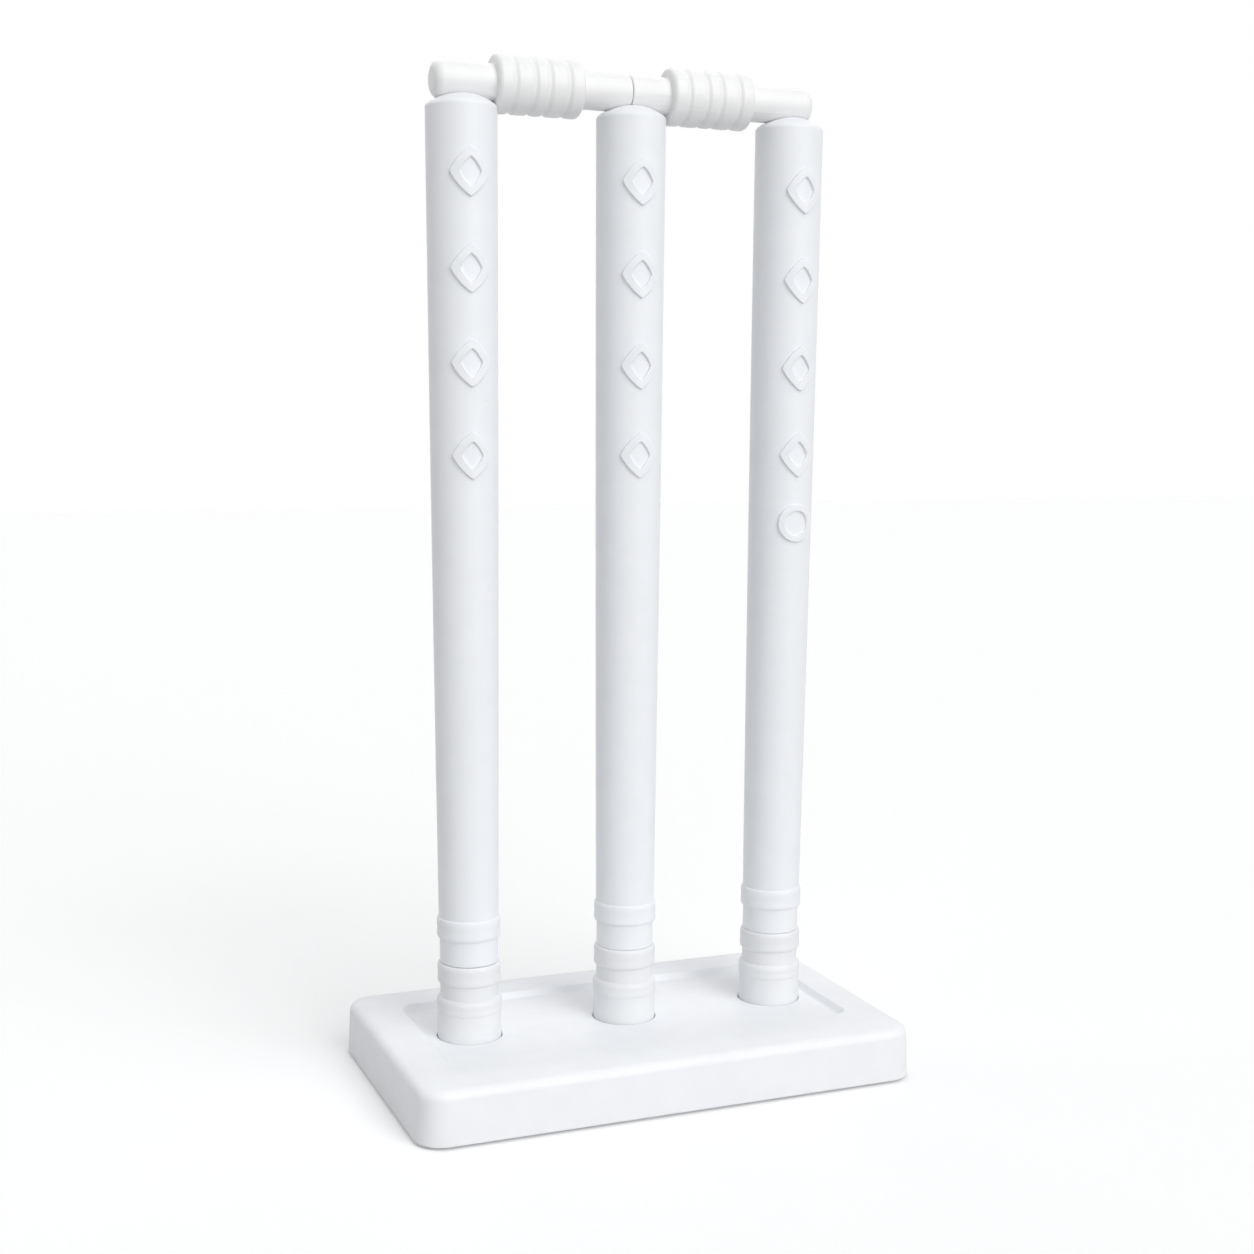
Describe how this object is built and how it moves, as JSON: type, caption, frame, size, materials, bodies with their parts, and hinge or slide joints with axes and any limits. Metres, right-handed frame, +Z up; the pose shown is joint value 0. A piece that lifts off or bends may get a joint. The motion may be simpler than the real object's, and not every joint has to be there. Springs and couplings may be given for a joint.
{
  "type": "cricket stumps",
  "caption": "Free-standing cricket wicket: hollow plastic stumps plugged into the sockets of a moulded base tray, with loose bails laid across their tops.",
  "frame": {"origin": "on the ground under the middle stump, at the centre of the base tray", "axes": "+Z up along the stumps, +X along the row of stumps to the right as seen from the front, -Y to the front, the side that carries the raised marks"},
  "size_m": [0.298, 0.175, 0.5629],
  "materials": {
    "base_plastic": "white moulded plastic, fine satin skin",
    "stump_plastic": "white moulded plastic, satin",
    "bail_plastic": "white moulded plastic, slightly glossier, a little warmer"
  },
  "bodies": {
    "base": {"base_tray": "base_plastic"},
    "stump_middle": {"stump_foot_middle": "stump_plastic", "stump_shaft_middle": "stump_plastic"},
    "stump_left": {"stump_foot_left": "stump_plastic", "stump_shaft_left": "stump_plastic"},
    "stump_right": {"stump_foot_right": "stump_plastic", "stump_shaft_right": "stump_plastic"},
    "bail_left": {"bail_left": "bail_plastic"},
    "bail_right": {"bail_right": "bail_plastic"}
  },
  "joints": [
    {"name": "stump_middle_lift", "type": "slide", "parent": "base", "child": "stump_middle", "axis": [0, 0, 1], "range_m": [0, 0.06]},
    {"name": "stump_left_lift", "type": "slide", "parent": "stump_middle", "child": "stump_left", "axis": [0, 0, 1], "range_m": [0, 0.06]},
    {"name": "stump_right_lift", "type": "slide", "parent": "stump_middle", "child": "stump_right", "axis": [0, 0, 1], "range_m": [0, 0.06]},
    {"name": "bail_left_lift", "type": "slide", "parent": "stump_left", "child": "bail_left", "axis": [0, 0, 1], "range_m": [0, 0.06]},
    {"name": "bail_right_lift", "type": "slide", "parent": "stump_right", "child": "bail_right", "axis": [0, 0, 1], "range_m": [0, 0.06]}
  ]
}
